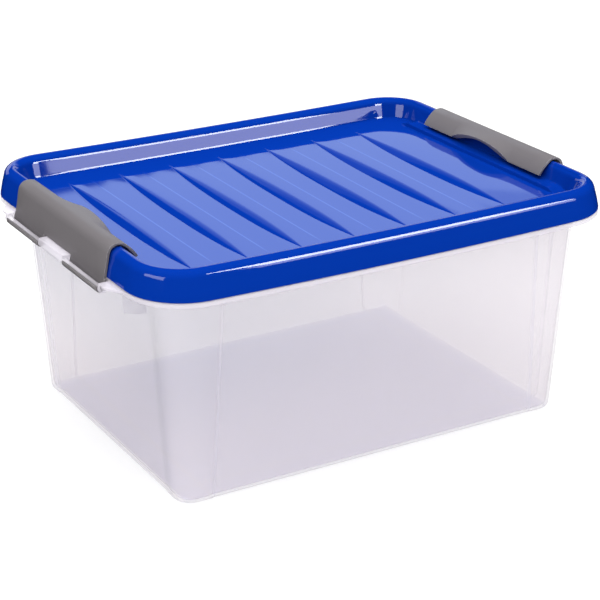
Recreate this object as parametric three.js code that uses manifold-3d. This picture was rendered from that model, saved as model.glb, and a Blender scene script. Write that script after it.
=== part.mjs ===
// Clip box: a tapered tub, a lid that drops over the tub's rim, and a swing latch on each short end.
// Millimetres, +Z up, X along the box, Y across it, origin at the middle of the tub's base.
import * as THREE from "three";
import { mergeVertices } from "three/addons/utils/BufferGeometryUtils.js";
import Module from "manifold-3d";

const wasm = await Module();
wasm.setup();

// An outline is a rounded rectangle: half length, half width and corner radius.
const BASE = { x: 169, y: 126.5, r: 15 };
const WALL_TOP = { x: 178.8, y: 135.8, r: 18 };
const RIM = { x: 200, y: 155.5, r: 43 };

// Tub
const WALL = 2;
const BASE_EDGE = 4; // radius of the edge round the base
const FLOOR = 2.2;
const FLANGE = { bottom: 168.5, top: 170.5, lipBottom: 167, lip: 2 };
const UPSTAND = { inset: 9.5, thickness: 2, top: 187 };
const WALL_PANEL = { x: 139, y: 102, ramp: 1, depth: 0.8 }; // sunk middle of each wall
const LEDGE = { x: 208.2, y: 95, taper: 112, top: 169.5, bottom: 167.5 };
const HOOK_SLOT = { near: 22, far: 85, inner: 200.2 };
const LUG = { inner: 206.2, bottom: 163 };
const BAR = { x: 206.2, z: 165, r: 2, anchor: 4 }; // anchor: length held by the ledge at each end
const GUSSET = { y: 94, thickness: 2, reach: 194, bottom: 144 };

// Lid
const SKIRT_BOTTOM = 171;
const WELL = { x: 181, y: 133.5, r: 21 }; // foot of the wall round the sunk panel
const EDGE = { x: 185, y: 137.5, r: 25 }; // inner edge of the rim
const BROW = { x: 187.5, y: 141.2, r: 28.4 };
const CROWN = { x: 191.2, y: 146, r: 33.5 }; // highest line of the rim
const SKIN = 2; // lid thickness
const PANEL = { top: 177, bottom: 175 }; // sunk middle of the lid
const END_STEP = { inner: 169.5, outer: 182.6, y: 104, taper: 112, top: 180 };
const FURROWS = { count: 7, pitch: 45, offset: -11.5, reach: 110, halfWidth: 8, depth: 2.8, skin: 1.8 };

// Latches, drawn for the +X end
const PIVOT = { x: BAR.x, z: BAR.z };
const LATCH = { halfWidth: 82, foot: 167.2, middleFoot: 170.2, middle: 26 };
// Side outlines [x, z] of plate and ridge: outside from the foot up, inside from the ridge down.
const RIDGE = [[198.2, 190.9], [195.3, 194.1], [191.5, 195], [188.4, 194.7]];
const OUTSIDE = [[203, LATCH.foot], [199.3, 187.5], ...RIDGE];
const INSIDE = [[190.8, 193.4], [194.2, 192.6], [196.3, 190.3], [197.3, 187.4], [201, LATCH.foot]];
const HOOK = { near: 24, far: 83.5, inner: 2.4, outer: 4.2, root: 170.5, tip: 166.5 };
const LIP = { inner: 33.7, outer: 35.6, first: 125, last: 150 }; // radii and angles about the pivot
const VISOR = { halfWidth: 41, reach: 175, root: 186, top: 191.6, rootTop: 194.3, thickness: 1.9 };

const CORNER_STEPS = 6;

// ---- outlines and lofts ----

const grow = (outline, d) => ({ x: outline.x + d, y: outline.y + d, r: outline.r + d });

// One level ring. With a recess, the middle of each side is sunk by that much.
function ring(outline, z, recess) {
  const points = [];
  const add = (x, y) => points.push(new THREE.Vector3(x, y, z));
  for (let corner = 0; corner < 4; corner++) {
    const sx = corner === 0 || corner === 3 ? 1 : -1;
    const sy = corner < 2 ? 1 : -1;
    for (let step = 0; step <= CORNER_STEPS; step++) {
      const angle = (corner + step / CORNER_STEPS) * (Math.PI / 2);
      add(
        sx * (outline.x - outline.r) + outline.r * Math.cos(angle),
        sy * (outline.y - outline.r) + outline.r * Math.sin(angle),
      );
    }
    if (recess === undefined) continue;
    const along = corner % 2 === 0 ? WALL_PANEL.x : WALL_PANEL.y;
    const across = corner % 2 === 0 ? outline.y : outline.x;
    const top = along + WALL_PANEL.ramp;
    const foot = along - WALL_PANEL.ramp;
    const sunk = across - recess;
    for (const [s, d] of [[top, across], [foot, sunk], [-foot, sunk], [-top, across]]) {
      if (corner === 0) add(s, d);
      if (corner === 1) add(-d, s);
      if (corner === 2) add(-s, -d);
      if (corner === 3) add(d, -s);
    }
  }
  return points;
}

// Triangles that fill one end loop, which lies in the XY plane or in the XZ plane.
function cap(loop, upright) {
  const flat = loop.map((p) => new THREE.Vector2(p.x, upright ? p.z : p.y));
  const turn = Math.sign(THREE.ShapeUtils.area(flat));
  return THREE.ShapeUtils.triangulateShape(flat, []).map(([a, b, c]) => {
    const area = THREE.ShapeUtils.area([flat[a], flat[b], flat[c]]);
    return Math.sign(area) === turn ? [a, b, c] : [a, c, b];
  });
}

function solidFrom(positions, triangles) {
  const make = (list) =>
    new wasm.Manifold(
      new wasm.Mesh({
        numProp: 3,
        vertProperties: new Float32Array(positions),
        triVerts: new Uint32Array(list.flat()),
      }),
    );
  const made = make(triangles);
  return made.volume() > 0 ? made : make(triangles.map(([a, b, c]) => [a, c, b]));
}

// A closed body through loops of equal length, capped at both ends.
function loft(loops, upright = false) {
  const n = loops[0].length;
  const triangles = [];
  for (let row = 0; row + 1 < loops.length; row++)
    for (let i = 0; i < n; i++) {
      const a = row * n + i;
      const b = row * n + ((i + 1) % n);
      triangles.push([a, b, b + n], [a, b + n, a + n]);
    }
  const last = (loops.length - 1) * n;
  for (const [a, b, c] of cap(loops[0], upright)) triangles.push([a, c, b]);
  for (const [a, b, c] of cap(loops.at(-1), upright)) triangles.push([a + last, b + last, c + last]);
  return solidFrom(loops.flat().flatMap((p) => p.toArray()), triangles);
}

function solidOf(geometry) {
  geometry.deleteAttribute("normal");
  geometry.deleteAttribute("uv");
  const merged = mergeVertices(geometry, 1e-4);
  const index = merged.index.array;
  const triangles = [];
  for (let i = 0; i < index.length; i += 3) triangles.push([index[i], index[i + 1], index[i + 2]]);
  return solidFrom(merged.attributes.position.array, triangles);
}

const shapeOf = (points) => new THREE.Shape(points.map(([u, v]) => new THREE.Vector2(u, v)));

// A plan outline [x, y] raised from one height to another.
function slab(points, bottom, top) {
  const geometry = new THREE.ExtrudeGeometry(shapeOf(points), { depth: top - bottom, bevelEnabled: false });
  return solidOf(geometry.translate(0, 0, bottom));
}

// A side outline [x, z] carried from y = from to y = to.
function prism(points, from, to) {
  const geometry = new THREE.ExtrudeGeometry(shapeOf(points), { depth: to - from, bevelEnabled: false });
  return solidOf(geometry.rotateX(Math.PI / 2).translate(0, to, 0));
}

const block = (x0, x1, y0, y1, z0, z1) => slab([[x0, y0], [x1, y0], [x1, y1], [x0, y1]], z0, z1);

const turned = (solid) => solid.scale([-1, -1, 1]); // the same piece at the other end of the box

function meshOf(name, solid, look) {
  const { vertProperties, triVerts } = solid.getMesh();
  const geometry = new THREE.BufferGeometry();
  geometry.setAttribute("position", new THREE.BufferAttribute(vertProperties, 3));
  geometry.setIndex(new THREE.BufferAttribute(triVerts, 1));
  geometry.computeVertexNormals();
  const mesh = new THREE.Mesh(geometry, new THREE.MeshStandardMaterial(look));
  mesh.name = name;
  return mesh;
}

// ---- tub ----

function tubShell() {
  const lip = grow(RIM, -0.2);
  const underFlange = grow(lip, -FLANGE.lip);
  const outside = grow(RIM, -UPSTAND.inset);
  const inside = grow(outside, -UPSTAND.thickness);
  const innerTop = grow(WALL_TOP, -WALL);
  const innerFoot = grow(BASE, -WALL);
  return loft([
    ring(grow(BASE, -BASE_EDGE), 0, WALL_PANEL.depth),
    ring(grow(BASE, -BASE_EDGE * 0.29), BASE_EDGE * 0.29, WALL_PANEL.depth),
    ring(BASE, BASE_EDGE, WALL_PANEL.depth),
    ring(WALL_TOP, FLANGE.bottom, WALL_PANEL.depth),
    ring(underFlange, FLANGE.bottom, 0),
    ring(underFlange, FLANGE.lipBottom, 0),
    ring(lip, FLANGE.lipBottom, 0),
    ring(lip, FLANGE.top, 0),
    ring(outside, FLANGE.top, 0),
    ring(outside, UPSTAND.top, 0),
    ring(inside, UPSTAND.top, 0),
    ring(inside, FLANGE.top, 0),
    ring(innerTop, FLANGE.top, WALL_PANEL.depth),
    ring(innerFoot, BASE_EDGE + FLOOR, WALL_PANEL.depth),
    ring(grow(innerFoot, -BASE_EDGE / 2), FLOOR, WALL_PANEL.depth),
  ]);
}

// The ledge that carries the hinge bar, at the +X end.
function ledge() {
  const root = RIM.x - 2;
  const plan = [
    [root, -LEDGE.taper],
    [LEDGE.x, -LEDGE.y],
    [LEDGE.x, LEDGE.y],
    [root, LEDGE.taper],
  ];
  let body = slab(plan, LEDGE.bottom, LEDGE.top);
  const skirt = block(LUG.inner, LEDGE.x, -LEDGE.y, LEDGE.y, LUG.bottom, LEDGE.bottom + 0.5);
  body = body.add(skirt);
  for (const side of [-1, 1]) {
    const [y0, y1] = [side * HOOK_SLOT.near, side * HOOK_SLOT.far].sort((a, b) => a - b);
    body = body.subtract(block(HOOK_SLOT.inner, LEDGE.x + 1, y0, y1, LUG.bottom - 1, LEDGE.top + 1));
  }
  const bar = new THREE.CylinderGeometry(BAR.r, BAR.r, 2 * (HOOK_SLOT.far + BAR.anchor), 16);
  return body.add(solidOf(bar.translate(BAR.x, 0, BAR.z)));
}

// A web between wall and flange, just outside the latch, at the +X end.
function gusset(side) {
  const slope = (WALL_TOP.x - BASE.x) / (FLANGE.bottom - BASE_EDGE);
  const wallAt = (z) => BASE.x + slope * (z - BASE_EDGE) - WALL / 2;
  const profile = [
    [wallAt(GUSSET.bottom), GUSSET.bottom],
    [wallAt(GUSSET.bottom) + 3, GUSSET.bottom],
    [GUSSET.reach, FLANGE.bottom - 3],
    [GUSSET.reach, FLANGE.bottom + 1],
    [wallAt(FLANGE.bottom), FLANGE.bottom + 1],
  ];
  const y = side * GUSSET.y;
  return prism(profile, y - GUSSET.thickness / 2, y + GUSSET.thickness / 2);
}

function tub() {
  const end = ledge().add(gusset(1)).add(gusset(-1));
  return tubShell().add(end).add(turned(end));
}

// ---- lid ----

// Panel edge, rim and skirt from above, then back along the underside.
function lidShell() {
  return loft([
    ring(WELL, PANEL.top),
    ring(EDGE, 189.8),
    ring(BROW, 192.1),
    ring(CROWN, 192.9),
    ring(grow(RIM, -6.1), 192.2),
    ring(grow(RIM, -4.3), 190.4),
    ring(grow(RIM, -3.6), 188),
    ring(RIM, SKIRT_BOTTOM),
    ring(grow(RIM, -SKIN), SKIRT_BOTTOM),
    ring(grow(RIM, -3.4 - SKIN), 187.6),
    ring(grow(RIM, -4.5 - SKIN), 190),
    ring(grow(CROWN, -0.2), 190.9),
    ring(grow(BROW, 1.1), 190.3),
    ring(grow(EDGE, 1.9), 188.4),
    ring(grow(WELL, 1.9), PANEL.bottom),
  ]);
}

// A long lens in plan, deepest in the middle and running out at both ends.
// section(s) gives the side outline [x, z] at a place where the lens has s of its full size.
function lens(x, section) {
  const stations = 12;
  const loops = [];
  for (let i = 0; i <= stations; i++) {
    const t = Math.sin((i / stations - 0.5) * Math.PI);
    const s = Math.max(1 - Math.abs(t) ** 2.5, 0.02);
    loops.push(section(s).map(([u, z]) => new THREE.Vector3(x + u, t * FURROWS.reach, z)));
  }
  return loft(loops, true);
}

// The cut of one furrow: a straight fall to the crease and a rounded rise behind it.
const furrowCut = (s) => {
  const w = FURROWS.halfWidth * s;
  const d = FURROWS.depth * s;
  const above = PANEL.top + 1;
  return [
    [-w, above],
    [-w, PANEL.top],
    [0, PANEL.top - d],
    [0.6 * w, PANEL.top - 0.32 * d],
    [w, PANEL.top],
    [w, above],
  ];
};

// The skin that the furrow pushes out below the panel.
const furrowKeel = (s) => {
  const w = (FURROWS.halfWidth + FURROWS.skin) * s;
  const d = (FURROWS.depth + FURROWS.skin) * s;
  return [
    [-w, PANEL.top - 0.5],
    [-w, PANEL.bottom + 0.3],
    [0, Math.min(PANEL.top - d, PANEL.bottom + 0.2)],
    [w, PANEL.bottom + 0.3],
    [w, PANEL.top - 0.5],
  ];
};

function lid() {
  let body = lidShell();
  const step = [
    [END_STEP.inner, -END_STEP.y],
    [END_STEP.outer, -END_STEP.taper],
    [END_STEP.outer, END_STEP.taper],
    [END_STEP.inner, END_STEP.y],
  ];
  const end = slab(step, PANEL.bottom + 0.5, END_STEP.top);
  body = body.add(end).add(turned(end));
  for (let i = 0; i < FURROWS.count; i++) {
    const x = FURROWS.offset + FURROWS.pitch * (i - (FURROWS.count - 1) / 2);
    body = body.add(lens(x, furrowKeel)).subtract(lens(x, furrowCut));
  }
  return body;
}

// ---- latch ----

const polar = (radius, degrees) => {
  const angle = THREE.MathUtils.degToRad(degrees);
  return [PIVOT.x + radius * Math.cos(angle), PIVOT.z + radius * Math.sin(angle)];
};

// The side outline of the plate, ridge and lip. rise is 0 at the full lip and 1 at the middle of the visor.
function latchSection(rise) {
  const steps = 4;
  const outer = [];
  const inner = [];
  for (let i = 0; i <= steps; i++) {
    const t = i / steps;
    const degrees = THREE.MathUtils.lerp(LIP.first, LIP.last, t);
    const lipOuter = polar(LIP.outer, degrees);
    const lipInner = polar(LIP.inner, degrees);
    const x = THREE.MathUtils.lerp(lipOuter[0], THREE.MathUtils.lerp(VISOR.root, VISOR.reach, t), rise);
    const z = THREE.MathUtils.lerp(lipOuter[1], THREE.MathUtils.lerp(VISOR.rootTop, VISOR.top, t), rise);
    outer.push([x, z]);
    inner.unshift([
      THREE.MathUtils.lerp(lipInner[0], x, rise),
      THREE.MathUtils.lerp(lipInner[1], z - VISOR.thickness, rise),
    ]);
  }
  return [...OUTSIDE, ...outer, ...inner, ...INSIDE];
}

// The hook under the plate that wraps the hinge bar, as a side outline.
function hookSection() {
  const arc = (radius, from, to) => {
    const points = [];
    const steps = 8;
    for (let i = 0; i <= steps; i++) points.push(polar(radius, THREE.MathUtils.lerp(from, to, i / steps)));
    return points;
  };
  return [
    [PIVOT.x + HOOK.outer, HOOK.tip],
    ...arc(HOOK.outer, 0, -180),
    [200.6, HOOK.root],
    [202.3, HOOK.root],
    ...arc(HOOK.inner, -180, 0),
    [PIVOT.x + HOOK.inner, HOOK.tip],
  ];
}

function latch() {
  const halfSteps = 8;
  const loops = [];
  const addSection = (y, rise) =>
    loops.push(latchSection(rise).map(([x, z]) => new THREE.Vector3(x, y, z)));
  addSection(-LATCH.halfWidth, 0);
  for (let i = -halfSteps; i <= halfSteps; i++) {
    const angle = (i / halfSteps) * (Math.PI / 2);
    addSection(VISOR.halfWidth * Math.sin(angle), Math.cos(angle));
  }
  addSection(LATCH.halfWidth, 0);
  let body = loft(loops, true);
  body = body.subtract(block(198, 206, -LATCH.middle, LATCH.middle, LATCH.foot - 1, LATCH.middleFoot));
  for (const side of [-1, 1]) {
    const [y0, y1] = [side * HOOK.near, side * HOOK.far].sort((a, b) => a - b);
    body = body.add(prism(hookSection(), y0, y1));
  }
  return body;
}

// ---- assembly ----

const frosted = { color: 0xe4dfea, roughness: 0.45, metalness: 0, transparent: true, opacity: 0.45 };
const blue = { color: 0x0846c4, roughness: 0.22, metalness: 0 };
const grey = { color: 0x6f6c6c, roughness: 0.5, metalness: 0 };

const box = new THREE.Group();
box.add(meshOf("tub", tub(), frosted));
box.add(meshOf("lid", lid(), blue));
box.add(meshOf("latch_right", latch(), grey));
box.add(meshOf("latch_left", turned(latch()), grey));

export default box;
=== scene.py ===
"""Clip storage box: frosted tub, glossy blue lid with furrows, and a grey swing latch on each short end.

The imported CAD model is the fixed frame. Each CAD node is replaced by a fine mesh of the same moulding,
built here from the same few sizes. Modelling is in millimetres and meshes are stored in metres.
+Z is up, X runs along the box and Y across it; the camera looks from -X -Y.
"""
import math

import bmesh
import bpy
from mathutils import Matrix, Vector


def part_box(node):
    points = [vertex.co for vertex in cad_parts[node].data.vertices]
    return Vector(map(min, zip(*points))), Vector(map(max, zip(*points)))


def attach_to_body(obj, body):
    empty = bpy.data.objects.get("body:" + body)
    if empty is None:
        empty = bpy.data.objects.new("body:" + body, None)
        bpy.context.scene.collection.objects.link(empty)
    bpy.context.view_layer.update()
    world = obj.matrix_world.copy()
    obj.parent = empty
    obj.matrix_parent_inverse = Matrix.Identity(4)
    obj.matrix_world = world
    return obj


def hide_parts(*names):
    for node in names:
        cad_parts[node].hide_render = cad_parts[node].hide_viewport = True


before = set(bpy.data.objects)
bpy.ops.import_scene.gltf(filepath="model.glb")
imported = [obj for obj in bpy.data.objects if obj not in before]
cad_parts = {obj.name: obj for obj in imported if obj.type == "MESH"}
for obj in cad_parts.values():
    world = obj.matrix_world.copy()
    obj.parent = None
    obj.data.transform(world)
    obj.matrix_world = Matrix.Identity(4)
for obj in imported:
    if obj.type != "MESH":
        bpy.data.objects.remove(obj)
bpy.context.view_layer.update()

MM = 0.001
LID_LOW, LID_HIGH = (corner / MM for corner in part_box("lid"))
TUB_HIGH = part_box("tub")[1] / MM
LATCH_LOW, LATCH_HIGH = (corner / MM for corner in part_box("latch_right"))


# ---------------------------------------------------------------- outlines and lofts

class Outline:
    """A rounded rectangle: half length, half width and corner radius."""

    def __init__(self, x, y, r):
        self.x, self.y, self.r = x, y, r

    def grow(self, d):
        return Outline(self.x + d, self.y + d, self.r + d)

    def blend(self, other, t):
        return Outline(
            self.x + (other.x - self.x) * t,
            self.y + (other.y - self.y) * t,
            self.r + (other.r - self.r) * t,
        )

    def point(self, key):
        """The plan point of a key: ("arc", corner, angle) or ("side", side, t from -1 to 1).

        Corners and sides count anticlockwise from +X +Y; side 0 is the +Y side, walked towards -X.
        """
        kind, index, t = key
        cx, cy = self.x - self.r, self.y - self.r
        if kind == "arc":
            sx = 1 if index in (0, 3) else -1
            sy = 1 if index < 2 else -1
            angle = index * math.pi / 2 + t
            return (sx * cx + self.r * math.cos(angle), sy * cy + self.r * math.sin(angle))
        return [(-t * cx, self.y), (-self.x, -t * cy), (t * cx, -self.y), (self.x, t * cy)][index]


RIM_CORNER = 43
RIM = Outline(LID_HIGH.x, LID_HIGH.y, RIM_CORNER)
SKIRT_BOTTOM = LID_LOW.z
CROWN = LID_HIGH.z

# The long sides bow down a little between the corners, the front more than the back.
SAG = {"back": 0.9, "front": 2.6, "blend": 120}
# At the corners the rim's top is raised a little at the back and lowered at the front.
CROWN_DROP = {"back": -0.6, "front": 0.7}


def sag(x, y, z):
    """How far the moulding hangs below its drawn height; the base stays flat."""
    along = max(0.0, 1 - (x / RIM.x) ** 2)
    backwards = smoothstep(-SAG["blend"], SAG["blend"], y)
    most = lerp(SAG["front"], SAG["back"], backwards)
    drop = lerp(CROWN_DROP["front"], CROWN_DROP["back"], backwards) * (1 - along)
    height = min(1.0, max(0.0, z / SKIRT_BOTTOM))
    return most * along * height ** 2 + drop * smoothstep(SKIRT_BOTTOM, CROWN, z)


def sagged(points):
    return [(x, y, z - sag(x, y, z)) for x, y, z in points]


def mesh_object(name, points, faces, smooth_below=32):
    """A piece from points in millimetres. Edges that turn more than smooth_below degrees stay sharp."""
    mesh = bpy.data.meshes.new(name)
    mesh.from_pydata([Vector(p) * MM for p in points], [], faces)
    mesh.validate()
    bm = bmesh.new()
    bm.from_mesh(mesh)
    bmesh.ops.remove_doubles(bm, verts=bm.verts, dist=1e-6)
    bmesh.ops.recalc_face_normals(bm, faces=bm.faces)
    set_smooth(bm, smooth_below)
    bm.to_mesh(mesh)
    bm.free()
    obj = bpy.data.objects.new(name, mesh)
    bpy.context.scene.collection.objects.link(obj)
    return obj


def set_smooth(bm, smooth_below):
    limit = math.radians(smooth_below)
    for face in bm.faces:
        face.smooth = True
    for edge in bm.edges:
        edge.smooth = len(edge.link_faces) == 2 and edge.calc_face_angle(0) < limit


def strip_faces(rows, columns, closed, start=0):
    """Quads between rows of points; closed joins each row's end to its start."""
    faces = []
    for row in range(rows - 1):
        for i in range(columns if closed else columns - 1):
            a = start + row * columns + i
            b = start + row * columns + (i + 1) % columns
            faces.append((a, b, b + columns, a + columns))
    return faces


def fillet(cx, cz, radius, start, end, steps=5):
    """Points (inset, z) of an arc; angles in degrees, 0 towards the outside and 90 upwards."""
    points = []
    for i in range(steps + 1):
        angle = math.radians(start + (end - start) * i / steps)
        points.append((cx - radius * math.cos(angle), cz + radius * math.sin(angle)))
    return points


def lerp(a, b, t):
    return a + (b - a) * t


def smoothstep(low, high, v):
    t = min(1.0, max(0.0, (v - low) / (high - low)))
    return t * t * (3 - 2 * t)


# ---------------------------------------------------------------- modifiers applied in place

EDGE_ROUNDING = 0.35


def apply_modifiers(obj):
    """Bakes the object's modifiers into its mesh."""
    graph = bpy.context.evaluated_depsgraph_get()
    mesh = bpy.data.meshes.new_from_object(obj.evaluated_get(graph))
    obj.modifiers.clear()
    obj.data = mesh


def combine(obj, operation, *others):
    """Boolean UNION or DIFFERENCE of closed pieces; the others are used up."""
    for other in others:
        boolean = obj.modifiers.new("combine", "BOOLEAN")
        boolean.operation = operation
        boolean.solver = "EXACT"
        boolean.object = other
        apply_modifiers(obj)
        bpy.data.objects.remove(other)
    return obj


def soften(obj, width, limit=35, segments=2, smooth_below=45, looks=()):
    """Rounds the edges that turn more than limit degrees; of two looks the second is for the edges."""
    for look in looks:
        obj.data.materials.append(look)
    bevel = obj.modifiers.new("soften", "BEVEL")
    bevel.material = len(looks) - 1
    bevel.width = width * MM
    bevel.segments = segments
    bevel.limit_method = "ANGLE"
    bevel.angle_limit = math.radians(limit)
    apply_modifiers(obj)
    bm = bmesh.new()
    bm.from_mesh(obj.data)
    set_smooth(bm, smooth_below)
    bm.to_mesh(obj.data)
    bm.free()
    return obj


def turned_copy(obj, name):
    """The same piece at the other end of the box, half a turn about Z."""
    mesh = obj.data.copy()
    mesh.transform(Matrix.Rotation(math.pi, 4, "Z"))
    copy = bpy.data.objects.new(name, mesh)
    bpy.context.scene.collection.objects.link(copy)
    return copy


def solid_between(name, first, last):
    """A closed body between two outlines with the same number of points."""
    n = len(first)
    faces = [tuple(range(n)), tuple(reversed(range(n, 2 * n)))]
    faces += [(i, i + n, (i + 1) % n + n, (i + 1) % n) for i in range(n)]
    return mesh_object(name, first + last, faces)


def prism(name, profile, y0, y1):
    """A side outline (x, z) carried from y0 to y1."""
    return solid_between(name, [(x, y0, z) for x, z in profile], [(x, y1, z) for x, z in profile])


def slab(name, plan, z0, z1):
    """A plan outline (x, y) raised from z0 to z1."""
    return solid_between(name, [(x, y, z0) for x, y in plan], [(x, y, z1) for x, y in plan])


# ---------------------------------------------------------------- lid

PANEL_TOP = 177
PANEL_THICKNESS = 2
WELL = Outline(181, 133.5, 21)  # foot of the wall round the sunk panel
WELL_TOP = 188.3
EDGE = Outline(185, 137.5, 25)  # inner edge of the rim
CROWN_INSET, CROWN_FILLET = 11.1, 7.5  # where the rim's outer fillet starts, and its radius
RIM_THICKNESS = 1.9
END_STEP = {"riser": 169.9, "width": 0.9, "height": 3, "fade_from": 99, "fade_to": 111}
FURROW = {"count": 7, "pitch": 45, "offset": -11.5, "reach": 110, "half_width": 8, "depth": 2.9}
# A furrow's section in shares of its half width: the foot of its steep side, then where its floor rises.
FURROW_SECTION = {"foot": -0.62, "rise_from": -0.4, "rise_to": 0.9, "power": 1.9}
# Mesh columns across a furrow, in the same shares.
FURROW_STEPS = (-1.06, -1.01, -0.98, -0.8, -0.65, -0.62, -0.6, -0.42, -0.4, -0.38)
FURROW_STEPS += (-0.3, -0.15, 0, 0.15, 0.3, 0.45, 0.6, 0.75, 0.9)
STRIP_CREASE = 18  # from the furrow's middle to the strip's faint fold
STRIP_WARP = {"slope": -0.0045, "bend": 0.0004, "end": 36}
FURROW_LINES = [
    FURROW["offset"] + FURROW["pitch"] * (i - (FURROW["count"] - 1) / 2) for i in range(FURROW["count"])
]


def lens(y):
    """Share of a furrow's full size at y: 1 in the middle, 0 from its tips on."""
    return max(0.0, 1 - abs(y / FURROW["reach"]) ** 2.5)


def well_reach(y):
    """Half length of the sunk panel at y."""
    flat = WELL.y - WELL.r
    if abs(y) <= flat:
        return WELL.x
    across = min(WELL.r, abs(y) - flat)
    return WELL.x - WELL.r + math.sqrt(WELL.r ** 2 - across ** 2)


def furrow_height(dx, y):
    """Height of a furrow at dx from its middle: sharp edge, steep fall, flat floor and rounded rise."""
    size = lens(y)
    t = dx / max(FURROW["half_width"] * size, 0.4)
    foot, start, end = (FURROW_SECTION[name] for name in ("foot", "rise_from", "rise_to"))
    if size == 0 or not -1 < t < end:
        return 0.0
    if t < foot:
        share = (t + 1) / (foot + 1)
    elif t < start:
        share = 1
    else:
        share = (1 - (t - start) / (end - start)) ** FURROW_SECTION["power"]
    return -FURROW["depth"] * size * share


def strip_warp(x):
    """Past its fold each strip is very slightly dished, by hundredths of a millimetre."""
    along = (x - FURROW_LINES[0]) % FURROW["pitch"]
    if not FURROW_LINES[0] < x < FURROW_LINES[-1] or along < STRIP_CREASE:
        return 0.0
    past = min(along, STRIP_WARP["end"]) - STRIP_CREASE
    dish = STRIP_WARP["slope"] * past + STRIP_WARP["bend"] * past ** 2
    return dish * (1 - smoothstep(STRIP_WARP["end"], FURROW["pitch"], along))


def end_step(x, y):
    """The raised step along each short end."""
    half = END_STEP["width"] / 2
    rise = smoothstep(END_STEP["riser"] - half, END_STEP["riser"] + half, abs(x))
    fade = 1 - smoothstep(END_STEP["fade_from"], END_STEP["fade_to"], abs(y))
    return END_STEP["height"] * rise * fade


def panel_height(x, y):
    z = PANEL_TOP + end_step(x, y)
    for line in FURROW_LINES:
        z += furrow_height(x - line, y)
    return z + strip_warp(x)


END_COLUMNS = (0, 1.2, 3.5, 7, 10.2, 10.55, 10.8, 11.1, 11.4, 11.65, 12, 14)  # inwards from the well's end


def panel_columns(y):
    """X places of one row of the panel, lined up with furrow edges, folds and the end steps."""
    width = max(FURROW["half_width"] * lens(y), 0.5)
    reach = well_reach(y)
    xs = []
    first = FURROW_LINES[0] + FURROW_STEPS[0] * width
    last = FURROW_LINES[-1] + FURROW_STEPS[-1] * width
    risers = [WELL.x - d for d in END_COLUMNS]
    full_left, full_right = first + WELL.x, WELL.x - last
    for riser in risers:
        xs.append(first - (riser + first) * (reach + first) / full_left)
    for i, line in enumerate(FURROW_LINES):
        if i:
            previous = FURROW_LINES[i - 1]
            low = previous + FURROW_STEPS[-1] * width
            high = line + FURROW_STEPS[0] * width
            fold = previous + STRIP_CREASE
            xs += [lerp(low, fold, 0.5), fold - 0.3, fold, fold + 0.3, fold + 1]
            xs += [lerp(fold + 1, high, t) for t in (0.25, 0.5, 0.75)]
        xs += [line + t * width for t in FURROW_STEPS]
    for riser in reversed(risers):
        xs.append(last + (riser - last) * (reach - last) / full_right)
    return xs


def panel_rows():
    """Y places: close together in the rounded corners and near the furrow tips."""
    flat = WELL.y - WELL.r
    corner_steps, middle_steps = 10, 64
    quarter = math.pi / 2
    corner = [flat + WELL.r * math.sin(quarter * i / corner_steps) for i in range(corner_steps, 0, -1)]
    middle = [flat * math.sin(quarter * (2 * i / middle_steps - 1)) for i in range(middle_steps + 1)]
    return [-y for y in corner] + middle + list(reversed(corner))


def boundary_keys(columns_of, rows):
    """Keys of the panel's outer points, anticlockwise from the first row's left end."""
    flat_x, flat_y = WELL.x - WELL.r, WELL.y - WELL.r

    def side_key(y, right):
        if abs(y) <= flat_y:
            return ("side", 3, y / flat_y) if right else ("side", 1, -y / flat_y)
        angle = math.asin(min(1.0, (abs(y) - flat_y) / WELL.r))
        corner = (0 if right else 1) if y > 0 else (3 if right else 2)
        turn = angle if corner in (0, 2) else math.pi / 2 - angle
        return ("arc", corner, turn)

    bottom = [("side", 2, x / flat_x) for x in columns_of(rows[0])[1:-1]]
    top = [("side", 0, -x / flat_x) for x in reversed(columns_of(rows[-1])[1:-1])]
    right = [side_key(y, True) for y in rows]
    left = [side_key(y, False) for y in reversed(rows)]
    return bottom + right + top + left


def lid_mesh():
    rows = panel_rows()
    grid = [[(x, y, panel_height(x, y)) for x in panel_columns(y)] for y in rows]
    n_rows, n_cols = len(grid), len(grid[0])
    top = [p for row in grid for p in row]
    under = [(x, y, z - PANEL_THICKNESS) for x, y, z in top]
    count = len(top)

    def index(row, column):
        return row * n_cols + column

    loop = [index(0, c) for c in range(1, n_cols - 1)]
    loop += [index(r, n_cols - 1) for r in range(n_rows)]
    loop += [index(n_rows - 1, c) for c in reversed(range(1, n_cols - 1))]
    loop += [index(r, 0) for r in reversed(range(n_rows))]
    keys = boundary_keys(panel_columns, rows)

    profile = lid_profile()
    points = top + under
    faces = strip_faces(n_rows, n_cols, False)
    faces += [tuple(reversed([v + count for v in face])) for face in strip_faces(n_rows, n_cols, False)]
    start = len(points)
    for outline, z, lift in profile:
        for key, vertex in zip(keys, loop):
            x, y = outline.point(key)
            points.append((x, y, z + lift * (top[vertex][2] - PANEL_TOP)))
    n = len(keys)
    rings = len(profile)
    faces += strip_faces(rings, n, True, start)
    for i in range(n):
        j = (i + 1) % n
        faces.append((loop[i], loop[j], start + j, start + i))
        end = start + (rings - 1) * n
        faces.append((end + i, end + j, loop[j] + count, loop[i] + count))
    return sagged(points), faces


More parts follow.
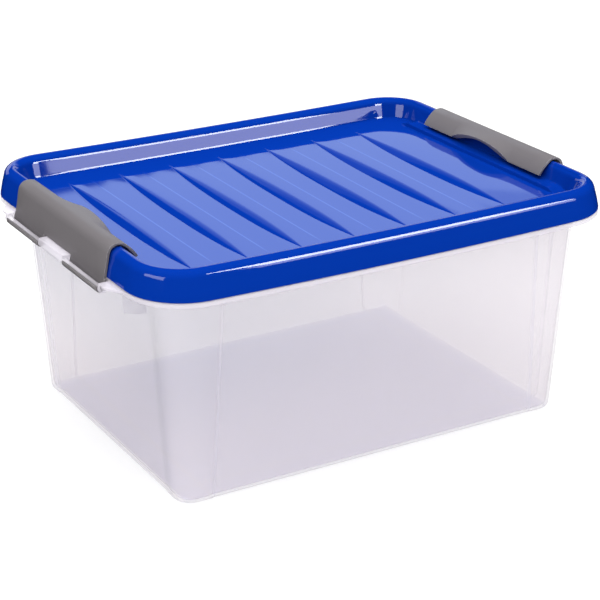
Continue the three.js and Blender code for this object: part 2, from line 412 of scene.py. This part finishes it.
def lid_profile():
    """Rings from the panel's edge over the rim, down the skirt and back underneath.

    Each is (outline, height, share of the panel's own height there).
    """
    rings = []
    # Foot fillet and wall of the well.
    rings.append((WELL.grow(0.45), PANEL_TOP + 0.25, 1))
    rings.append((WELL.grow(0.75), PANEL_TOP + 0.9, 1))
    for t in (0, 0.06, 0.5, 0.94, 1):
        rings.append((WELL.grow(lerp(1, 3.6, t)), lerp(PANEL_TOP + 1.8, WELL_TOP, t), 0.85 * (1 - t)))
    # Inner edge and the gentle rise to the crown.
    rings.append((EDGE.grow(0.15), 189.5, 0))
    rings.append((EDGE.grow(0.8), 190.5, 0))
    rings.append((EDGE.grow(1.9), 191.2, 0))
    crown = RIM.grow(-CROWN_INSET)
    rings.append((EDGE.blend(crown, 0.6), 192.05, 0))
    rings.append((EDGE.blend(crown, 0.85), 192.6, 0))
    # Outer fillet and skirt.
    for inset, z in fillet(CROWN_INSET, CROWN - CROWN_FILLET, CROWN_FILLET, 90, 6, 9):
        rings.append((RIM.grow(-inset), z, 0))
    rings.append((RIM.grow(-1.8), 179.5, 0))
    rings.append((RIM.grow(-0.15), SKIRT_BOTTOM + 0.7, 0))
    rings.append((RIM.grow(-0.1), SKIRT_BOTTOM + 0.25, 0))
    rings.append((RIM.grow(-0.4), SKIRT_BOTTOM, 0))
    rings.append((RIM.grow(-RIM_THICKNESS), SKIRT_BOTTOM, 0))
    # Underside.
    inner_fillet = CROWN_FILLET - RIM_THICKNESS
    for inset, z in reversed(fillet(CROWN_INSET, CROWN - CROWN_FILLET, inner_fillet, 90, 6, 5)):
        rings.append((RIM.grow(-inset), z, 0))
    rings.append((EDGE.grow(2.6), 190.1, 0))
    rings.append((EDGE.grow(2.1), 188.6, 0))
    rings.append((WELL.grow(2.1), PANEL_TOP - 0.2, 1))
    rings.append((WELL.grow(1.6), PANEL_TOP - 1.6, 1))
    return rings


# ---------------------------------------------------------------- tub

WALL = 2.0
BASE = Outline(169, 126.5, 15)
WALL_TOP = Outline(178.8, 135.8, 18)
LIP = RIM.grow(-0.2)
BASE_FILLET, FLOOR_FILLET = 4, 3
FLANGE_TOP, FLANGE_BOTTOM, LIP_BOTTOM = 170.5, 168.5, 166.8
UPSTAND_INSET = 9.5  # from the rim's outline to the upstand inside the lid
WALL_SHARES = (0.1, 0.25, 0.5, 0.75, 0.9, 0.97)
SUNK = {"x": 139, "y": 102, "ramp": 0.9, "depth": 0.8}  # sunk middle of each wall
SUNK_FLARE = 3.5  # the long walls' sunk middle is this much wider at the base and narrower at the rim


def tub_keys():
    """Corner arcs and, on each side, points beside the ramps of the sunk panel."""
    arc_steps = 14
    keys = []
    for side in range(4):
        keys += [("arc", side, math.radians(90 * i / arc_steps)) for i in range(arc_steps + 1)]
        half = SUNK["x"] if side % 2 == 0 else SUNK["y"]
        marks = [half + SUNK["ramp"], half, half - SUNK["ramp"]]
        inner = [half * 0.94 * (1 - 2 * i / 12) for i in range(13)]
        keys += [("wall", side, s) for s in marks + inner + [-m for m in reversed(marks)]]
    return keys


def tub_point(outline, key, sunk, z):
    kind, side, s = key
    if kind == "arc":
        return outline.point(key)
    half = SUNK["x"] if side % 2 == 0 else SUNK["y"]
    depth = sunk * SUNK["depth"] * (1 - smoothstep(half - SUNK["ramp"], half + SUNK["ramp"], abs(s)))
    dy, dx = outline.y - depth, outline.x - depth
    wide = s * (1 + SUNK_FLARE * (1 - 2 * z / FLANGE_BOTTOM) / SUNK["x"])
    return [(wide, dy), (-dx, s), (-wide, -dy), (dx, -s)][side]


def tub_profile():
    """Rings from the middle of the base, up the outside, over the flange and down inside to the floor."""
    rings = [(BASE.grow(-12), 0.8, 1), (BASE.grow(-8), 0.5, 1), (BASE.grow(-7), 0, 1)]
    for inset, z in reversed(fillet(BASE_FILLET, BASE_FILLET, BASE_FILLET, 0, -90, 6)):
        rings.append((BASE.grow(-inset), z, 1))
    for t in WALL_SHARES:
        rings.append((BASE.blend(WALL_TOP, t), lerp(BASE_FILLET, FLANGE_BOTTOM, t), 1))
    rings.append((WALL_TOP.grow(0), FLANGE_BOTTOM - 1, 1))
    rings.append((WALL_TOP.grow(0.8), FLANGE_BOTTOM, 0))
    rings.append((LIP.grow(-2), FLANGE_BOTTOM, 0))
    rings.append((LIP.grow(-1.8), LIP_BOTTOM + 0.2, 0))
    rings.append((LIP.grow(-1.5), LIP_BOTTOM, 0))
    rings.append((LIP.grow(-0.4), LIP_BOTTOM, 0))
    rings.append((LIP.grow(0), LIP_BOTTOM + 0.5, 0))
    rings.append((LIP.grow(0), FLANGE_TOP - 0.5, 0))
    rings.append((LIP.grow(-0.5), FLANGE_TOP, 0))
    upstand = RIM.grow(-UPSTAND_INSET)
    top = TUB_HIGH.z
    rings += [(upstand, FLANGE_TOP, 0), (upstand, top - 0.5, 0), (upstand.grow(-0.5), top, 0)]
    rings += [(upstand.grow(0.5 - WALL), top, 0), (upstand.grow(-WALL), top - 0.5, 0)]
    rings.append((upstand.grow(-WALL), FLANGE_TOP, 0))
    rings.append((WALL_TOP.grow(-WALL + 0.8), FLANGE_TOP, 0))
    rings.append((WALL_TOP.grow(-WALL), FLANGE_TOP - 0.8, 1))
    inner = BASE.grow(-WALL)
    for t in reversed(WALL_SHARES):
        rings.append((inner.blend(WALL_TOP.grow(-WALL), t), lerp(BASE_FILLET, FLANGE_BOTTOM, t), 1))
    for inset, z in fillet(FLOOR_FILLET, FLOOR_FILLET + WALL, FLOOR_FILLET, 0, -90, 5):
        rings.append((inner.grow(-inset), z, 1))
    return rings


def tub_mesh():
    keys = tub_keys()
    points = []
    profile = tub_profile()
    for outline, z, sunk in profile:
        for key in keys:
            x, y = tub_point(outline, key, sunk, min(z, FLANGE_BOTTOM))
            points.append((x, y, z))
    n = len(keys)
    faces = strip_faces(len(profile), n, True)
    last = (len(profile) - 1) * n
    points += [(0, 0, profile[0][1]), (0, 0, profile[-1][1])]
    for i in range(n):
        j = (i + 1) % n
        faces.append((i, j, len(points) - 2))
        faces.append((last + j, last + i, len(points) - 1))
    return sagged(points), faces


LEDGE = {"top": 169.5, "bottom": 167.6, "outer": TUB_HIGH.x, "half": 95, "taper": 112}
SLOT = {"near": 22, "far": 85, "inner": 200.2}
PIVOT = Vector((206.2, 0, 165))
BAR_RADIUS = 2.0
LUG_RADIUS = 2.9
EAR_END = 88.2
GUSSET = {"y": 94, "low": 144, "reach": 194, "rise": 3.5, "half_thickness": 0.9}


def polar(radius, degrees):
    """A point (x, z) round the right-hand hinge bar, from its outer side upwards."""
    angle = math.radians(degrees)
    return (PIVOT.x + radius * math.cos(angle), PIVOT.z + radius * math.sin(angle))


def ledge_plan():
    half = [(198, LEDGE["taper"])]
    half += [(LEDGE["outer"] - 1, LEDGE["half"] + 1.2), (LEDGE["outer"], LEDGE["half"] - 1)]
    half += [(LEDGE["outer"], SLOT["far"]), (SLOT["inner"], SLOT["far"])]
    half += [(SLOT["inner"], SLOT["near"]), (LEDGE["outer"], SLOT["near"])]
    return half + [(x, -y) for x, y in reversed(half)]


def bar_lug(name, y0, y1):
    """An ear that drops from the ledge and curls round the hinge bar."""
    steps = 12
    root = LEDGE["top"] - 0.6
    profile = [(201.2, root)]
    profile += [polar(LUG_RADIUS, 200 + 180 * i / steps) for i in range(steps + 1)]
    profile.append((PIVOT.x + BAR_RADIUS, root))
    return prism(name, profile, y0, y1)


def hinge_bar(name):
    sides = 24
    profile = [polar(BAR_RADIUS, 360 * i / sides) for i in range(sides)]
    return prism(name, profile, -SLOT["far"] - 2, SLOT["far"] + 2)


def gusset(name, y):
    """A thin web between wall and flange, just outside the latch."""
    slope = (WALL_TOP.x - BASE.x) / (FLANGE_BOTTOM - BASE_FILLET)

    def wall_middle(z):
        return BASE.x + slope * (z - BASE_FILLET) - WALL / 2

    steps = 8
    low, reach, half = GUSSET["low"], GUSSET["reach"], GUSSET["half_thickness"]
    root = FLANGE_BOTTOM + 1
    profile = [(wall_middle(FLANGE_BOTTOM), root), (wall_middle(low), low)]
    for i in range(steps + 1):
        t = i / steps
        profile.append((lerp(wall_middle(low) + WALL, reach, t), low + GUSSET["rise"] * t * t))
    profile.append((reach, root))
    return prism(name, profile, y - half, y + half)


def ledge_end(name):
    """Everything the tub carries at its +X end."""
    body = slab(name, ledge_plan(), LEDGE["bottom"], LEDGE["top"])
    middle = bar_lug("middle", -SLOT["near"], SLOT["near"])
    ears = [bar_lug("ear", -EAR_END, -SLOT["far"]), bar_lug("ear", SLOT["far"], EAR_END)]
    combine(body, "UNION", middle, *ears)
    soften(body, EDGE_ROUNDING)
    return combine(body, "UNION", hinge_bar("bar"))


# ---------------------------------------------------------------- latches

LATCH_HALF = 82
LATCH_THICKNESS = 1.9
LATCH_TOP, LATCH_FOOT = LATCH_HIGH.z, 168.2
FLAT_LIP = 62  # the lip is the same all along from here to the latch's end
LIP_ARC = {"inner": 33.7, "outer": 35.6, "first": 125, "last": 150}
VISOR = {"half": 40, "reach": LATCH_LOW.x, "root": 186, "top": 191.6, "root_top": 194.3}
HOOK = {"near": 24, "far": LATCH_HIGH.y, "inner": 2.4, "outer": 3.6, "root": 170.5, "tip": 166.5}
HOOK_GROOVE = {"z": 165.6, "half_width": 0.25, "depth": 0.3}
# Cut from the foot of the plate round the tub's middle lug.
WINDOW = {"inner": 198, "outer": 206, "half": 26, "bottom": 160, "top": 170.2}


def latch_section(rise):
    """Side outline of plate, ridge and lip; rise is 1 at the middle of the lift edge and 0 beside it."""
    steps = 8
    outer, inner = [], []
    for i in range(steps + 1):
        t = i / steps
        degrees = lerp(LIP_ARC["first"], LIP_ARC["last"], t)
        ox, oz = polar(LIP_ARC["outer"], degrees)
        ix, iz = polar(LIP_ARC["inner"], degrees)
        x = lerp(ox, lerp(VISOR["root"], VISOR["reach"], t), rise)
        z = lerp(oz, lerp(VISOR["root_top"], VISOR["top"], t), rise)
        outer.append((x, z))
        inner.append((lerp(ix, x + 0.1, rise), lerp(iz, z - LATCH_THICKNESS, rise)))
    plate = [(203.0, LATCH_FOOT), (200.6, 180.0), (199.3, 187.5)]
    ridge = [(198.9, 189.2), (198.0, 191.2), (196.7, 192.9), (194.9, 194.2), (192.9, 194.85)]
    ridge += [(191.2, LATCH_TOP), (189.4, 194.9), (187.6, 194.6)]
    under = [(188.8, 193.5), (190.9, 193.6), (192.8, 193.1), (194.5, 192.3), (195.9, 190.8), (196.8, 188.9)]
    back = [(197.3, 187.2), (198.7, 180.0), (201.0, LATCH_FOOT)]
    return plate + ridge + outer + list(reversed(inner)) + under + back


def latch_plate(name):
    """Plate, ridge and lip, lofted along the latch; the lip rises over the finger gap."""
    arch_steps = 20
    stations = [(-LATCH_HALF, 0.0), (-FLAT_LIP, 0.0)]
    for i in range(-arch_steps, arch_steps + 1):
        t = i / arch_steps
        stations.append((VISOR["half"] * t, (1 - t * t) ** 0.75))
    stations += [(FLAT_LIP, 0.0), (LATCH_HALF, 0.0)]
    points = []
    for y, rise in stations:
        points += [(x, y, z) for x, z in latch_section(rise)]
    n = len(points) // len(stations)
    faces = strip_faces(len(stations), n, True)
    faces.append(tuple(range(n)))
    faces.append(tuple(reversed(range(len(points) - n, len(points)))))
    return mesh_object(name, points, faces)


def hook(name, y0, y1):
    """The hook under the plate that wraps the hinge bar, with a fine groove along its outer side."""
    steps = 16
    half = HOOK_GROOVE["half_width"]
    outer = [polar(HOOK["outer"], -180 * i / steps) for i in range(steps + 1)]
    inner = [polar(HOOK["inner"], -180 + 180 * i / steps) for i in range(steps + 1)]
    side = PIVOT.x + HOOK["outer"]
    profile = [(PIVOT.x + HOOK["inner"], HOOK["tip"]), (side, HOOK["tip"])]
    profile += [(side, HOOK_GROOVE["z"] + half), (side - HOOK_GROOVE["depth"], HOOK_GROOVE["z"])]
    profile += [(side, HOOK_GROOVE["z"] - half)]
    profile += outer
    profile += [(200.6, HOOK["root"]), (202.3, HOOK["root"])]
    profile += inner
    return prism(name, profile, y0, y1)


def latch(name):
    body = latch_plate(name)
    x0, x1, half = WINDOW["inner"], WINDOW["outer"], WINDOW["half"]
    plan = [(x0, -half), (x1, -half), (x1, half), (x0, half)]
    window = slab("window", plan, WINDOW["bottom"], WINDOW["top"])
    combine(body, "DIFFERENCE", window)
    hooks = [hook("hook", -HOOK["far"], -HOOK["near"]), hook("hook", HOOK["near"], HOOK["far"])]
    combine(body, "UNION", *hooks)
    # The bevelled edges get the painted highlight look.
    return soften(body, EDGE_ROUNDING, limit=50, looks=(GREY, GREY_EDGE_HIGHLIGHT))


# ---------------------------------------------------------------- materials

def material(name, build):
    made = bpy.data.materials.new(name)
    made.use_nodes = True
    nodes, links = made.node_tree.nodes, made.node_tree.links
    build(nodes, links, nodes["Principled BSDF"])
    return made


def bump_noise(nodes, links, shader, scale, strength, distance):
    """A fine moulded unevenness; scale is in waves per metre, distance in metres."""
    coordinates = nodes.new("ShaderNodeTexCoord")
    noise = nodes.new("ShaderNodeTexNoise")
    noise.inputs["Scale"].default_value = scale
    noise.inputs["Detail"].default_value = 4
    bump = nodes.new("ShaderNodeBump")
    bump.inputs["Strength"].default_value = strength
    bump.inputs["Distance"].default_value = distance
    links.new(coordinates.outputs["Object"], noise.inputs["Vector"])
    links.new(noise.outputs["Fac"], bump.inputs["Height"])
    links.new(bump.outputs["Normal"], shader.inputs["Normal"])


def calculate(nodes, links, operation, *inputs):
    """One Math node; each input is a number or another node's output."""
    node = nodes.new("ShaderNodeMath")
    node.operation = operation
    for socket, value in zip(node.inputs, inputs):
        if isinstance(value, (int, float)):
            socket.default_value = value
        else:
            links.new(value, socket)
    return node.outputs["Value"]


def ramp(nodes, links, value, low, high, start, end):
    """From start at low evenly to end at high; low may be the larger."""
    node = nodes.new("ShaderNodeMapRange")
    for name, number in (("From Min", low), ("From Max", high), ("To Min", start), ("To Max", end)):
        node.inputs[name].default_value = number
    links.new(value, node.inputs["Value"])
    return node.outputs["Result"]


def magnitude(nodes, links, value):
    return calculate(nodes, links, "ABSOLUTE", value)


def product(nodes, links, first, second):
    return calculate(nodes, links, "MULTIPLY", first, second)


def fold_line(nodes, links, value, middle, half):
    """1 on the two lines where the value is +middle or -middle, and 0 beside them."""
    off = calculate(nodes, links, "SUBTRACT", magnitude(nodes, links, value), middle)
    return ramp(nodes, links, magnitude(nodes, links, off), half, half / 2, 0, 1)


def mixed(nodes, links, share, first, second):
    """From the first colour to the second; each is a colour or another node's output."""
    mix = nodes.new("ShaderNodeMix")
    mix.data_type = "RGBA"
    links.new(share, mix.inputs["Factor"])
    for name, colour in (("A", first), ("B", second)):
        if isinstance(colour, tuple):
            mix.inputs[name].default_value = colour
        else:
            links.new(colour, mix.inputs[name])
    return mix.outputs["Result"]


def moulding_axes(nodes, links):
    """The X, Y and Z of a point in the moulding's own metres."""
    coordinates = nodes.new("ShaderNodeTexCoord")
    split = nodes.new("ShaderNodeSeparateXYZ")
    links.new(coordinates.outputs["Object"], split.inputs["Vector"])
    return [split.outputs[axis] for axis in "XYZ"]


# The fold colour is a painted highlight: a paler line along each strip's fold.
BLUE_AND_FOLD_HIGHLIGHT = {"body": (0.001, 0.029, 0.295, 1), "fold": (0.022, 0.068, 0.39, 1)}
# Metres: half a painted fold highlight's width, its place past the crease, and where along Y the painted
# lines fade in.
BLUE_FOLD_HIGHLIGHT = {"half": 0.0008, "past_crease": 0.0008, "fade_from": 0.108, "fade_to": 0.088}


def blue_plastic(nodes, links, shader):
    """Glossy blue; a thin painted highlight makes the line along each strip's fold a little paler."""
    x, y, _ = moulding_axes(nodes, links)
    from_first = calculate(nodes, links, "SUBTRACT", x, FURROW_LINES[0] * MM)
    along = calculate(nodes, links, "FLOORED_MODULO", from_first, FURROW["pitch"] * MM)
    fold = STRIP_CREASE * MM + BLUE_FOLD_HIGHLIGHT["past_crease"]
    # Painted highlight along the fold of each strip.
    fold_highlight = fold_line(nodes, links, along, fold, BLUE_FOLD_HIGHLIGHT["half"])
    middle = (FURROW_LINES[0] + FURROW_LINES[-1]) / 2 * MM
    half = (FURROW_LINES[-1] - FURROW_LINES[0]) / 2 * MM
    off_middle = magnitude(nodes, links, calculate(nodes, links, "SUBTRACT", x, middle))
    between = ramp(nodes, links, off_middle, half, half - MM, 0, 1)
    across = magnitude(nodes, links, y)
    on_panel = ramp(nodes, links, across, BLUE_FOLD_HIGHLIGHT["fade_from"], BLUE_FOLD_HIGHLIGHT["fade_to"], 0, 1)
    fold_highlight = product(nodes, links, product(nodes, links, fold_highlight, between), on_panel)
    colour = mixed(nodes, links, fold_highlight, BLUE_AND_FOLD_HIGHLIGHT["body"], BLUE_AND_FOLD_HIGHLIGHT["fold"])
    links.new(colour, shader.inputs["Base Color"])
    shader.inputs["Roughness"].default_value = 0.04
    shader.inputs["IOR"].default_value = 1.5


FROSTED_LOOK = {
    "wall_alpha": 0.27, "floor_alpha": 0.4, "rim_alpha": 0.5, "fold_alpha": 0.4,
    "wall": (0.84, 0.775, 0.82, 1), "floor": (0.76, 0.735, 0.90, 1), "rim": (0.77, 0.73, 0.80, 1),
    # The shade colour is painted shade, for the lid's shadow inside the tub.
    "painted_shade": (0.58, 0.59, 0.68, 1),
}
# Metres: where each zone of the tub starts and where it is full; the shade zones place a painted shade.
FROSTED_ZONES = {
    "floor_x": (0.166, 0.162), "floor_y": (0.1235, 0.1195), "floor_z": (0.008, 0.004),
    "rim_z": (0.160, 0.1655), "painted_shade_x": (0.10, -0.14), "painted_shade_z": (0.05, 0.14),
}
FROSTED_FOLD = 0.0013  # half a fold line's width in metres
# The strongest share of the painted shade.
HIGHEST_PAINTED_SHADE = 0.6


def frosted_plastic(nodes, links, shader):
    """Thin walls let most light through; folds, floor and rim are denser, and the floor is bluer. A painted
    shade turns the walls bluish grey towards the top and the -X end.
    """
    x, y, z = moulding_axes(nodes, links)

    def zone(value, name, full=1):
        start, end = FROSTED_ZONES[name]
        return ramp(nodes, links, value, start, end, 0, full)

    def densest(first, second):
        return calculate(nodes, links, "MAXIMUM", first, second)

    inside = product(nodes, links, zone(magnitude(nodes, links, x), "floor_x"),
                     zone(magnitude(nodes, links, y), "floor_y"))
    floor = product(nodes, links, inside, zone(z, "floor_z"))
    rim = zone(z, "rim_z")
    flare = ramp(nodes, links, z, 0, FLANGE_BOTTOM * MM, -SUNK_FLARE * MM, SUNK_FLARE * MM)
    straight = calculate(nodes, links, "ADD", magnitude(nodes, links, x), flare)
    folds = densest(fold_line(nodes, links, straight, SUNK["x"] * MM, FROSTED_FOLD),
                    fold_line(nodes, links, y, SUNK["y"] * MM, FROSTED_FOLD))
    dense = densest(product(nodes, links, floor, FROSTED_LOOK["floor_alpha"]),
                    product(nodes, links, rim, FROSTED_LOOK["rim_alpha"]))
    dense = densest(dense, product(nodes, links, folds, FROSTED_LOOK["fold_alpha"]))
    links.new(densest(dense, FROSTED_LOOK["wall_alpha"]), shader.inputs["Alpha"])

    # Painted shade: bluish grey towards the top and the -X end, where the lid shades the inside.
    painted_shade_share = product(nodes, links, zone(x, "painted_shade_x"), zone(z, "painted_shade_z", HIGHEST_PAINTED_SHADE))
    tint = mixed(nodes, links, floor, FROSTED_LOOK["wall"], FROSTED_LOOK["floor"])
    tint = mixed(nodes, links, painted_shade_share, tint, FROSTED_LOOK["painted_shade"])
    tint = mixed(nodes, links, densest(rim, folds), tint, FROSTED_LOOK["rim"])
    links.new(tint, shader.inputs["Base Color"])
    shader.inputs["Roughness"].default_value = 0.3


def grey_plastic(nodes, links, shader):
    shader.inputs["Base Color"].default_value = (0.142, 0.131, 0.139, 1)
    shader.inputs["Roughness"].default_value = 0.45
    bump_noise(nodes, links, shader, 1400, 0.15, 0.0002)


def grey_edge_highlight(nodes, links, shader):
    """A painted highlight: the rounded edges of the latches are a lighter grey."""
    shader.inputs["Base Color"].default_value = (0.62, 0.6, 0.61, 1)
    shader.inputs["Roughness"].default_value = 0.4


BLUE = material("blue_plastic", blue_plastic)
FROSTED = material("frosted_plastic", frosted_plastic)
GREY = material("grey_plastic", grey_plastic)
GREY_EDGE_HIGHLIGHT = material("grey_edge_highlight", grey_edge_highlight)


# ---------------------------------------------------------------- the object

def attach(obj, body, slot, look, *replaced):
    """Joins a piece to its body; a piece that already has its looks keeps them."""
    if not obj.data.materials:
        obj.data.materials.append(look)
    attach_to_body(obj, body)
    if replaced:
        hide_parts(*replaced)


lid = mesh_object("lid_moulding", *lid_mesh())
attach(lid, "lid", "lid_blue", BLUE, "lid")

tub = mesh_object("tub_moulding", *tub_mesh())
attach(tub, "tub", "tub_frosted", FROSTED, "tub")
ledge_right = ledge_end("hinge_ledge_right")
ledge_left = turned_copy(ledge_right, "hinge_ledge_left")
for ledge in (ledge_right, ledge_left):
    attach(ledge, "tub", "tub_frosted", FROSTED)
for side, y in (("front", -GUSSET["y"]), ("back", GUSSET["y"])):
    web = gusset("gusset_right_" + side, y)
    attach(web, "tub", "tub_frosted", FROSTED)
    attach(turned_copy(web, "gusset_left_" + side), "tub", "tub_frosted", FROSTED)

latch_right = latch("latch_moulding_right")
latch_left = turned_copy(latch_right, "latch_moulding_left")
attach(latch_right, "latch_right", "latch_grey", GREY, "latch_right")
attach(latch_left, "latch_left", "latch_grey", GREY, "latch_left")


# ---------------------------------------------------------------- stage, light and camera

def stage_floor():
    reach = 6.0
    mesh = bpy.data.meshes.new("floor")
    corners = [(-reach, -reach, 0), (reach, -reach, 0), (reach, reach, 0), (-reach, reach, 0)]
    mesh.from_pydata(corners, [], [(0, 1, 2, 3)])
    floor = bpy.data.objects.new("floor", mesh)
    bpy.context.scene.collection.objects.link(floor)

    def look(nodes, links, shader):
        shader.inputs["Base Color"].default_value = (0.45, 0.45, 0.45, 1)
        shader.inputs["Roughness"].default_value = 0.9
        shader.inputs["Specular IOR Level"].default_value = 0.0
        shader.inputs["Emission Color"].default_value = (1, 1, 1, 1)
        shader.inputs["Emission Strength"].default_value = 0.55

    floor.data.materials.append(material("pale_floor", look))
    floor.visible_glossy = False


def softbox(name, place, target, size, radiance):
    """A rectangular light of even brightness that shows in no reflection."""
    lamp = area_light(name, place, target, size, radiance, (1, 1, 1))
    lamp.visible_glossy = False


def reflected_card(name, place, target, size, radiance, tint=(1, 1, 1)):
    """A rectangular card that only shows as a reflection."""
    lamp = area_light(name, place, target, size, radiance, tint)
    lamp.visible_diffuse = False


def area_light(name, place, target, size, radiance, tint):
    """A rectangular light that faces its target and that the camera doesn't see."""
    data = bpy.data.lights.new(name, "AREA")
    data.shape = "RECTANGLE"
    data.size, data.size_y = size
    data.energy = radiance * math.pi * size[0] * size[1]
    data.color = tint
    lamp = bpy.data.objects.new(name, data)
    lamp.location = place
    lamp.rotation_euler = (Vector(target) - Vector(place)).to_track_quat("-Z", "Y").to_euler()
    lamp.visible_camera = False
    bpy.context.scene.collection.objects.link(lamp)
    return lamp


def studio_world():
    world = bpy.data.worlds.new("studio")
    bpy.context.scene.world = world
    world.use_nodes = True
    background = world.node_tree.nodes["Background"]
    background.inputs["Color"].default_value = (1, 1, 1, 1)
    background.inputs["Strength"].default_value = 0.87
    world.cycles_visibility.glossy = False


# Metres and degrees; the roll is in radians and the lens in millimetres.
CAMERA = {
    "target": (-0.15433, -0.27392, 0.21173),
    "azimuth": -29.94,
    "elevation": 22.157,
    "distance": 1.1345,
    "roll": -0.00513,
    "lens": 109.73,
}


def camera():
    data = bpy.data.cameras.new("camera")
    data.lens = CAMERA["lens"]
    data.sensor_width = 36
    data.clip_start, data.clip_end = 0.05, 50
    azimuth, elevation = math.radians(CAMERA["azimuth"]), math.radians(CAMERA["elevation"])
    look = Vector((
        -math.sin(azimuth) * math.cos(elevation),
        math.cos(azimuth) * math.cos(elevation),
        -math.sin(elevation),
    ))
    right = Vector((math.cos(azimuth), math.sin(azimuth), 0))
    up = right.cross(look)
    c, s = math.cos(CAMERA["roll"]), math.sin(CAMERA["roll"])
    right, up = c * right + s * up, c * up - s * right
    place = Vector(CAMERA["target"]) - look * CAMERA["distance"]
    turn = Matrix((right, up, -look)).transposed().to_4x4()
    obj = bpy.data.objects.new("camera", data)
    obj.matrix_world = Matrix.Translation(place) @ turn
    bpy.context.scene.collection.objects.link(obj)
    bpy.context.scene.camera = obj


stage_floor()
studio_world()
SKY, LAVENDER, COOL = (0.62, 0.78, 1.0), (0.78, 0.8, 1.0), (0.92, 0.95, 1.0)
OVERHEAD = 0.777  # height of the cards that the panel's strips reflect
FADE = {"first": 1.15, "width": 0.1, "radiance": (1.0, 0.65, 0.4, 0.2)}
reflected_card("overhead_panel", (0.772, 1.474, OVERHEAD), (0.772, 1.474, 0), (0.944, 0.546), 1.45, SKY)
for step, radiance in enumerate(FADE["radiance"]):
    y = FADE["first"] - FADE["width"] * step
    size = (1.144, FADE["width"])
    reflected_card("overhead_fade", (0.672, y, OVERHEAD), (0.672, y, 0), size, radiance, SKY)
reflected_card("backdrop_card", (0.8, 1.9, 0.5), (0.8, 0, 0.5), (3.0, 0.5), 0.9)
reflected_card("front_band", (0.478, -0.783, 0.345), (0.478, 0, 0.345), (0.546, 0.19), 6.5, LAVENDER)
reflected_card("front_lamp", (0.45, -0.783, 0.61), (0.45, 0, 0.61), (0.42, 0.34), 22, COOL)
reflected_card("left_card", (-1.1, -0.243, 0.47), (0, 0, 0.18), (0.78, 0.4), 4)
softbox("top_softbox", (0, 0, 2.5), (0, 0, 0), (3.0, 3.0), 2.6)
softbox("soft_fill", (-1.5, -2.4, 2.4), (0, 0, 0.1), (2.0, 2.0), 2.0)
camera()
bpy.context.scene.view_settings.view_transform = "Standard"
